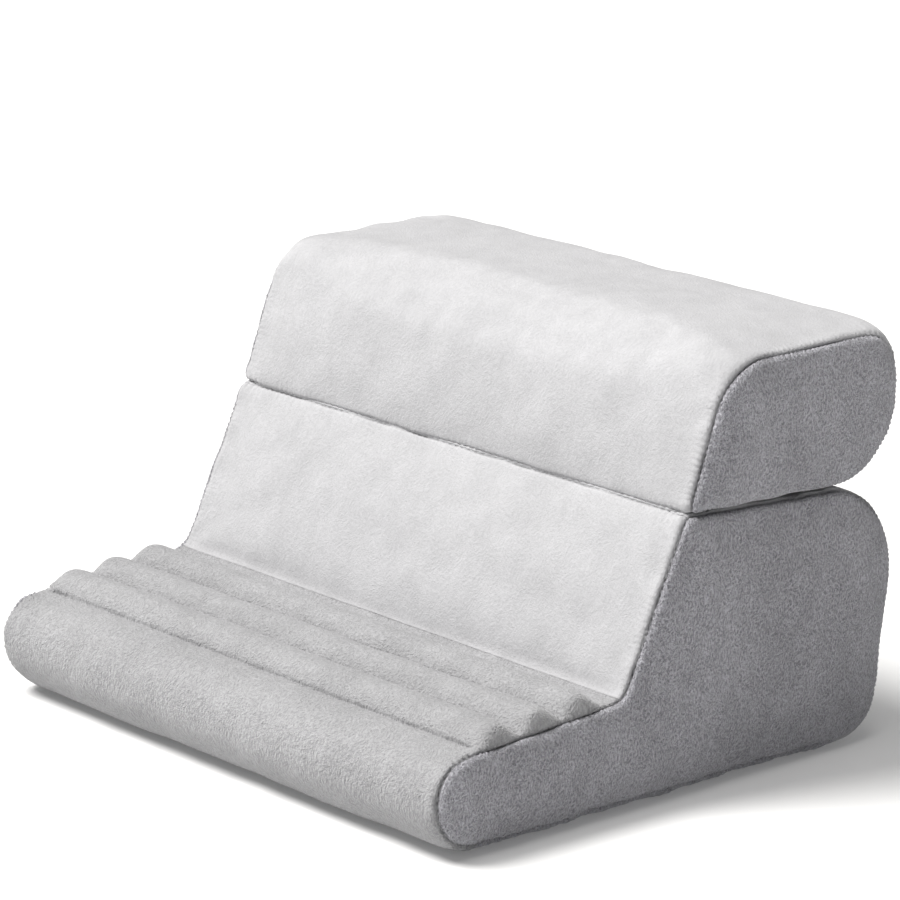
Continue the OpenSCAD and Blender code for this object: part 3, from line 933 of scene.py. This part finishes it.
def tube(path, radii, across, sides=6):
    """Points and faces of a closed tube along a path, with a radius at each of its points."""
    path = np.asarray(path, float)
    forward = np.gradient(path, axis=0)
    forward /= np.linalg.norm(forward, axis=1)[:, None]
    side = np.cross(forward, across)
    side /= np.linalg.norm(side, axis=1)[:, None]
    up = np.cross(side, forward)
    angles = np.arange(sides) * 2 * math.pi / sides
    rings = [
        p + r * (math.cos(a) * s + math.sin(a) * u)
        for p, r, s, u in zip(path, radii, side, up)
        for a in angles
    ]
    return rings, ring_faces(len(path), sides)


def joined(parts):
    """One mesh's points and faces from many."""
    points, faces = [], []
    for some, some_faces in parts:
        faces += [tuple(len(points) + k for k in face) for face in some_faces]
        points += list(some)
    return np.array(points), faces


STITCH_PROFILE = np.array([0.45, 0.9, 1, 0.9, 0.45])


def make_stitches(name, loops, body, pitch=3.4, long=2.3, radius=0.28):
    """Short threads sunk in the side seams."""
    parts = []
    for loop in loops:
        run = run_along(loop)
        for start in np.arange(0, run[-1] - long, pitch):
            s = np.linspace(start, start + long, len(STITCH_PROFILE))
            path = np.stack([np.interp(s, run, loop[:, k]) for k in range(3)], axis=1)
            parts.append(tube(path, radius * STITCH_PROFILE, (1, 0, 0)))
    points, faces = joined(parts)
    mesh = new_mesh(name, points, faces)
    mesh.shade_smooth()
    finish_piece(link(name, mesh), "thread", body)


CORD_END, CORD_STEP = SEAM_X - 5, 0.7
CORD_RADIUS, CORD_WOBBLE, CORD_PITCH = 0.75, 0.12, 4.2
CORD_TAPER, CORD_THINNEST = 6, 0.1
CORD_BEHIND, CORD_BELOW, CORD_BLEND = 1, 0.2, 0.6


def make_fold_seam():
    """The sewn fold between the pads: a puckered cord with thin ends."""
    xs = np.arange(-CORD_END, CORD_END + CORD_STEP / 2, CORD_STEP)
    wobble = CORD_WOBBLE * np.sin(2 * math.pi * xs / CORD_PITCH)
    y, z = HINGE[0] + FOLD_DIP + CORD_BEHIND, HINGE[1] - CORD_BELOW
    path = np.column_stack([xs, np.full(len(xs), y), np.full(len(xs), z)])
    thin = np.clip((CORD_END - abs(xs)) / CORD_TAPER, CORD_THINNEST, 1)
    points, faces = tube(path, thin * (CORD_RADIUS + wobble), (0, 0, 1), sides=12)
    mesh = new_mesh("fold_seam", points, faces)
    mesh.shade_smooth()
    seam = link("fold_seam", mesh)
    seam.data.materials.append(PLUSH)
    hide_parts("hinge_seam")
    low, high = path[0] * MM, path[0] * MM
    low[2] -= CORD_BLEND * MM
    high[2] += CORD_BLEND * MM
    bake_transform(seam)


# ---------------- foam cores
FOAM_DEPTH, FOAM_ROUNDING, FOAM_BULGE = 4.6, 3, 2.5
FOAM_SPACING, FOAM_GRID, RIB_FOAM_SPACING = 7, 9.0, 3
RIB_FOAM_MARGINS = (3, 5)


def closed(points):
    return np.vstack([points, points[:1]])


def make_foam(name, outer, inner, body, node_name, half, spacing=FOAM_SPACING):
    """A foam block inside a cover, from its outline and the narrower one at its ends."""
    stretch = Stretch("foam", closed(outer), closed(inner), spacing)
    skin, _, _ = build_skin(name + "_skin", [stretch], FOAM_GRID, half, FOAM_BULGE, FOAM_GRID)
    core = link(name, subdivide(skin, FOAM_LEVELS).copy())
    bpy.data.objects.remove(skin)
    core.data.shade_smooth()
    finish_piece(core, "foam", body, node_name, fill=1)


def make_foams():
    foot = np.array([VALLEY[0] - VALLEY[1] / math.tan(LEAN), 0])
    behind_ledge = foot + np.array([FOAM_DEPTH, 0])
    blocks = {
        "base_wedge_foam": [(*behind_ledge, 0), BASE_CORNERS[3], BASE_CORNERS[4], BASE_CORNERS[5]],
        "base_ledge_foam": [BASE_CORNERS[0], BASE_CORNERS[1], (*VALLEY, 0), (*foot, 0)],
        "head_foam": HEAD_CORNERS,
    }
    for node_name, corners in blocks.items():
        outer = trace(inset(corners, [FOAM_DEPTH] * len(corners)))
        inner = trace(inset(corners, [FOAM_DEPTH + FOAM_ROUNDING] * len(corners)))
        body = "head" if node_name == "head_foam" else "base"
        make_foam(node_name + "_core", outer, inner, body, node_name, SEAM_X - FOAM_DEPTH)
    for k, node_name in enumerate(RIBS):
        start, end = GROOVES[k], GROOVES[k + 1]
        outlines = []
        for margin in RIB_FOAM_MARGINS:
            along = margin * unit(end - start)
            low = along[::-1] * [0.5, -0.5]
            arch = rib_arc(start + along, end - along, RIB_HEIGHT + 1 - 1.2 * margin)
            outlines.append(np.vstack([arch, [end - along + low], [start + along + low]]))
        half = SEAM_X - RIB_FLANK_END
        make_foam(node_name + "_core", *outlines, "base", node_name, half, RIB_FOAM_SPACING)


# ---------------- underside
DOT_MARGIN, DOT_SUNK, DOT_ROUNDING, DOT_FOOT = 6, 0.5, 0.25, 0.8


def make_grip_dots(pitch=8.5, radius=1.7, sides=10):
    """Rubber dots on the underside, flat where they stand."""
    low, high = BOTTOM_LOW[1] + DOT_MARGIN, BOTTOM_HIGH[1] - DOT_MARGIN
    reach = SEAM_X - BORDER_WIDTH - DOT_MARGIN
    levels = ((radius, DOT_HEIGHT + DOT_SUNK), (radius, DOT_ROUNDING), (DOT_FOOT * radius, 0))
    angles = np.arange(sides) * 2 * math.pi / sides
    parts = []
    for row, y in enumerate(np.arange(low, high, pitch * math.sqrt(0.75))):
        for x in np.arange(-reach + (row % 2) * pitch / 2, reach, pitch):
            rings = []
            for r, z in levels:
                rings += [(x + r * math.cos(a), y + r * math.sin(a), z) for a in angles]
            parts.append((rings, ring_faces(len(levels), sides)))
    points, faces = joined(parts)
    mesh = new_mesh("grip_dots", points, faces)
    finish_piece(link("grip_dots", mesh), "grip_fabric", "base")


# ---------------- zips and label
def zip_frame(kind):
    """Centre of a zip's coil line on the fabric's outer face, with the ways along the tape and outwards."""
    if kind == "base":
        z = node_centre("base_zip_coil")[2]
        out = np.array([0, math.cos(REAR_LEAN), -math.sin(REAR_LEAN)])
        return np.array([0, rear_face(z), z]), np.array([0, math.sin(REAR_LEAN), math.cos(REAR_LEAN)]), out
    centre = head_under_centre()
    coil = node_centre("head_zip_coil")[1:]
    way = unit(coil - centre)
    place = centre + HEAD_UNDER_R * way
    return np.array([0, *place]), np.array([0, -way[1], way[0]]), np.array([0, *way])


TOOTH_PITCH, TOOTH_END_ROOM = 1.5, 1
# a tooth's path from its root to its hook, as ways along the tape and outwards, and its radii
TOOTH_PATH = [(2.0, -1.2), (1.3, -0.42), (0.1, -0.22), (-0.55, -0.7)]
TOOTH_RADII = [0.3, 0.36, 0.4, 0.3]


def make_teeth(kind):
    """Two interlocked rows of nylon loops."""
    low, high = node_box(f"{kind}_zip_coil")
    origin, up, out = zip_frame(kind)
    parts = []
    for k, x in enumerate(np.arange(low[0] + TOOTH_END_ROOM, high[0] - TOOTH_END_ROOM, TOOTH_PITCH / 2)):
        side = 1 if k % 2 else -1
        path = [origin + np.array([x, 0, 0]) + side * a * up + b * out for a, b in TOOTH_PATH]
        parts.append(tube(path, TOOTH_RADII, (1, 0, 0)))
    points, faces = joined(parts)
    mesh = new_mesh(f"{kind}_teeth", points, faces)
    mesh.shade_smooth()
    finish_piece(link(f"{kind}_teeth", mesh), "zip_teeth", kind, f"{kind}_zip_coil")


LABEL_COLUMNS, LABEL_ROWS = 13, 9
LABEL_THICK, LABEL_OFF_COVER = 0.3, 0.3
LABEL_LIFT, LABEL_RIPPLE, RIPPLE_STEP = 0.9, 0.25, 0.9
RAY_START = 15


def make_label():
    """The blank care label, which lies on the heel cover and lifts towards its lower edge."""
    low, high = node_box("care_label")
    _, up, out = zip_frame("base")
    graph = bpy.context.evaluated_depsgraph_get()
    heel = bvhtree.BVHTree.FromObject(bpy.data.objects["heel_cover"], graph)
    top = np.array([0, high[1], high[2]])
    length = (high[2] - low[2]) / up[2]
    points, faces = [], []
    for i in range(LABEL_ROWS):
        t = i / (LABEL_ROWS - 1)
        for j in range(LABEL_COLUMNS):
            x = low[0] + (high[0] - low[0]) * j / (LABEL_COLUMNS - 1)
            start = np.array([x, 0, 0]) + top - t * length * up + RAY_START * out
            hit = heel.ray_cast(Vector(start * MM), Vector(-out))[0]
            lift = LABEL_LIFT * t * t + LABEL_RIPPLE * t * math.sin(j * RIPPLE_STEP)
            points.append(np.array(hit) / MM + (lift + LABEL_OFF_COVER) * out)
    for i in range(LABEL_ROWS - 1):
        for j in range(LABEL_COLUMNS - 1):
            a = i * LABEL_COLUMNS + j
            faces.append((a, a + 1, a + LABEL_COLUMNS + 1, a + LABEL_COLUMNS))
    mesh = new_mesh("blank_care_label", points, faces)
    mesh.shade_smooth()
    label = link("blank_care_label", mesh)
    thick = label.modifiers.new("thickness", "SOLIDIFY")
    thick.thickness = LABEL_THICK * MM
    finish_piece(label, "label", "base", "care_label")


def dress_cad_nodes():
    """Materials, and soft edges on the metal, for the CAD nodes that stay in view."""
    for entry in frame["record"]["subparts"]:
        part = frame["nodes"][entry["node"]]
        part.data.materials.clear()
        part.data.materials.append(PAINTS[entry["material_slot"]])
        if entry["material_slot"] == "zip_metal":
            weld = part.modifiers.new("weld", "WELD")
            weld.merge_threshold = 0.01 * MM
            bevel = part.modifiers.new("soft_edges", "BEVEL")
            bevel.width = 0.25 * MM
            bevel.segments = 3


make_base()
make_head()
make_fold_seam()
make_foams()
make_grip_dots()
for pad in ("base", "head"):
    make_teeth(pad)
make_label()
dress_cad_nodes()


# ---------------- floor, light and camera
def make_floor(size=60):
    """A wide pale floor, in metres each way. It glows faintly, which softens the contact shadow."""
    mesh = bpy.data.meshes.new("floor")
    corners = [(-size, -size, 0), (size, -size, 0), (size, size, 0), (-size, size, 0)]
    mesh.from_pydata(corners, [], [(0, 1, 2, 3)])
    floor = link("floor", mesh)
    made, tree, shader = material("floor")
    place = node(tree, "TexCoord").outputs["Object"]
    grain = node(tree, "TexNoise", {"Vector": place, "Scale": 3}).outputs[0]
    tree.links.new(ramp(tree, grain, [(0.3, grey(0.66)), (0.7, grey(0.68))]), shader.inputs["Base Color"])
    shader.inputs["Roughness"].default_value = 0.7
    shader.inputs["Specular IOR Level"].default_value = 0.2
    shader.inputs["Emission Color"].default_value = (1, 1, 1, 1)
    shader.inputs["Emission Strength"].default_value = 0.12
    mesh.materials.append(made)


def make_lights():
    """A soft key from the front left, a weak fill from above and a dim surround, white near the floor."""
    world = bpy.data.worlds.new("studio")
    bpy.context.scene.world = world
    world.use_nodes = True
    background = world.node_tree.nodes["Background"]
    tree = world.node_tree
    way = node(tree, "TexCoord").outputs["Generated"]
    height = node(tree, "SeparateXYZ", {0: way}).outputs[2]
    glow = ramp(tree, height, [(0.1, grey(1)), (0.16, grey(0.17))])
    tree.links.new(glow, background.inputs["Color"])
    background.inputs["Strength"].default_value = 1
    for name, energy, angle, way in (
        ("left_key", 4.5, 30, (0.38, 0.36, -0.85)),
        ("top_fill", 0.65, 25, (-0.1, 0.15, -0.98)),
    ):
        sun = bpy.data.lights.new(name, "SUN")
        sun.energy = energy
        sun.color = (1, 0.987, 0.965)
        sun.angle = math.radians(angle)
        link(name, sun).rotation_euler = Vector(way).to_track_quat("-Z", "Y").to_euler()


def make_camera():
    """The photograph's camera, as solved from the tablet in it."""
    azimuth, elevation, roll = math.radians(48.06), math.radians(15.3), math.radians(0.72)
    aim = Vector((-0.00276, 0.00694, 0.11647))
    distance = 1.9395
    level = math.cos(elevation)
    back = Vector((math.sin(azimuth) * level, -math.cos(azimuth) * level, math.sin(elevation)))
    data = bpy.data.cameras.new("camera")
    data.lens = 180.47
    data.sensor_width = 36
    data.clip_end = 200
    camera = link("camera", data)
    camera.location = aim + distance * back
    turn = (-back).to_track_quat("-Z", "Y").to_matrix() @ Matrix.Rotation(roll, 3, "Z")
    camera.rotation_euler = turn.to_euler()
    bpy.context.scene.camera = camera


make_floor()
make_lights()
make_camera()
bpy.context.scene.view_settings.view_transform = "Standard"
bpy.context.scene.view_settings.look = "Medium High Contrast"
